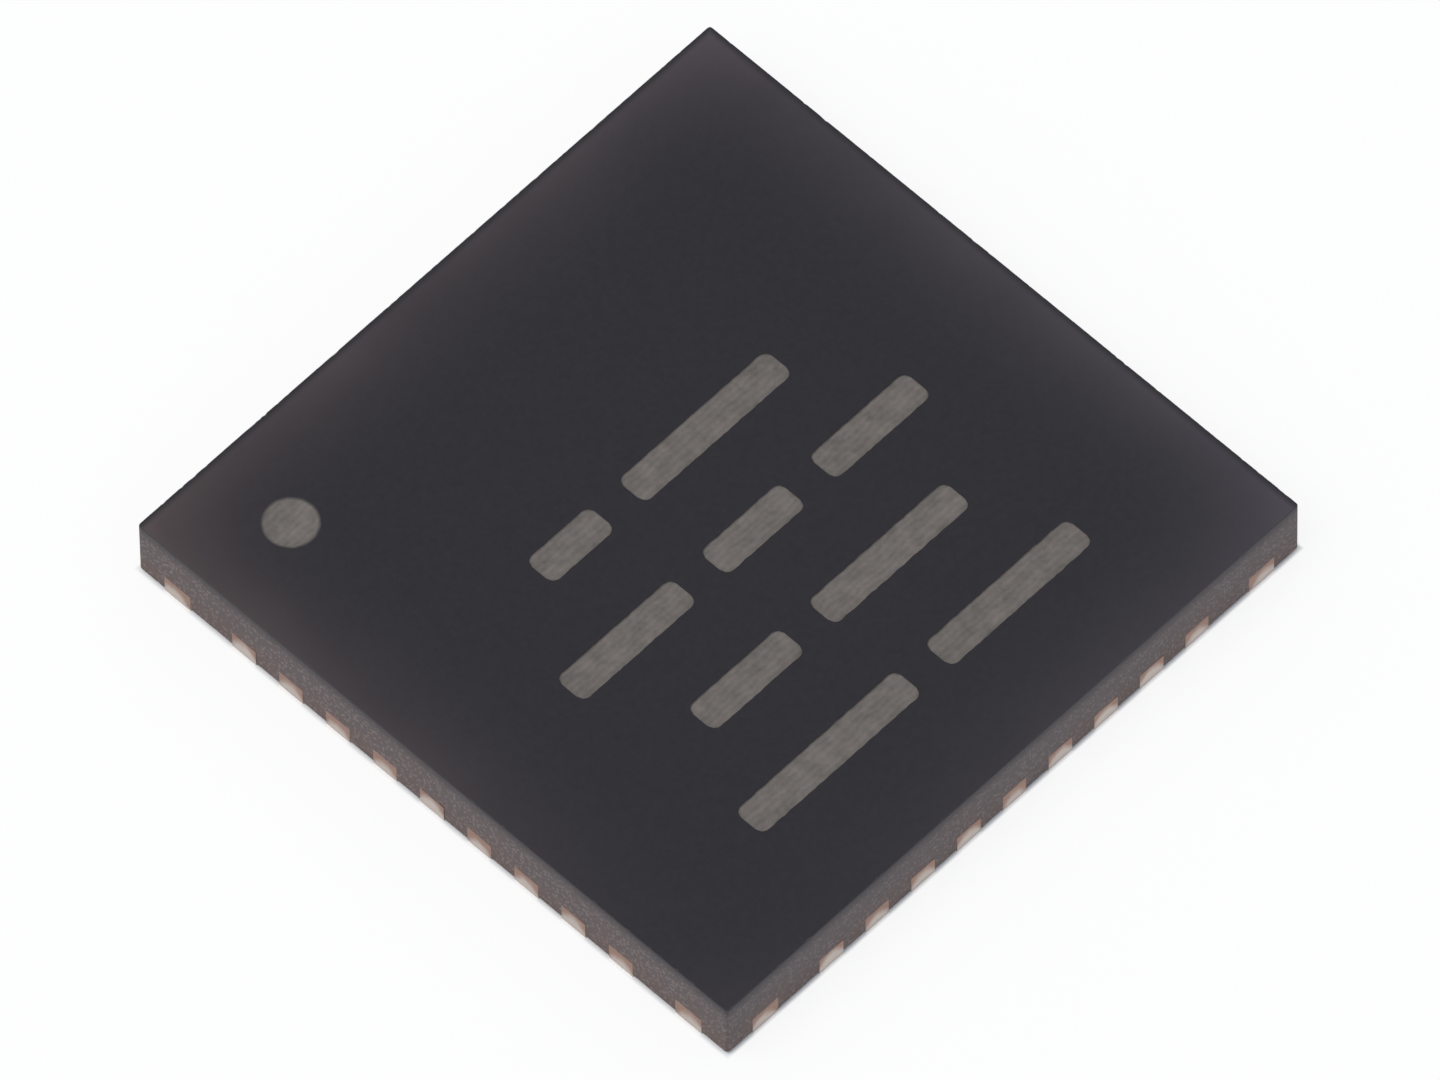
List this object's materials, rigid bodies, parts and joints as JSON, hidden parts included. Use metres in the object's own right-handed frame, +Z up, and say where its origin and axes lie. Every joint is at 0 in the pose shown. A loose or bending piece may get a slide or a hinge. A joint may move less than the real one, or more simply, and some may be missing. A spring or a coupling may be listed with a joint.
{
  "type": "microcontroller",
  "caption": "Thin square surface-mount microcontroller: a charcoal moulded body with flush solder terminals along all sides, corner anchors and an exposed thermal pad underneath.",
  "frame": {"origin": "middle of the underside, on the plane of the solder lands", "axes": "+Z up out of the marked top face; the pin 1 corner is at -X, +Y, and the pins count from it down the -X side, then along -Y, up +X and back along +Y"},
  "size_m": [0.005, 0.005, 0.0005],
  "materials": {
    "moulded_epoxy": "matte",
    "etched_copper": "satin",
    "tinned_copper": "satin",
    "silver_epoxy": "matte",
    "silicon": "polished",
    "bond_wire": "gloss"
  },
  "bodies": {
    "root": {"mould_body": "moulded_epoxy", "die_paddle": "etched_copper", "die_attach": "silver_epoxy", "die": "silicon", "terminal_1": "tinned_copper", "terminal_2": "tinned_copper", "terminal_3": "tinned_copper", "terminal_4": "tinned_copper", "terminal_5": "tinned_copper", "terminal_6": "tinned_copper", "terminal_7": "tinned_copper", "terminal_8": "tinned_copper", "terminal_9": "tinned_copper", "terminal_10": "tinned_copper", "terminal_11": "tinned_copper", "terminal_12": "tinned_copper", "terminal_13": "tinned_copper", "terminal_14": "tinned_copper", "terminal_15": "tinned_copper", "terminal_16": "tinned_copper", "terminal_17": "tinned_copper", "terminal_18": "tinned_copper", "terminal_19": "tinned_copper", "terminal_20": "tinned_copper", "terminal_21": "tinned_copper", "terminal_22": "tinned_copper", "terminal_23": "tinned_copper", "terminal_24": "tinned_copper", "terminal_25": "tinned_copper", "terminal_26": "tinned_copper", "terminal_27": "tinned_copper", "terminal_28": "tinned_copper", "terminal_29": "tinned_copper", "terminal_30": "tinned_copper", "terminal_31": "tinned_copper", "terminal_32": "tinned_copper", "terminal_33": "tinned_copper", "terminal_34": "tinned_copper", "terminal_35": "tinned_copper", "terminal_36": "tinned_copper", "bond_wires_1_9": "bond_wire", "bond_wires_10_18": "bond_wire", "bond_wires_19_27": "bond_wire", "bond_wires_28_36": "bond_wire"}
  },
  "joints": []
}
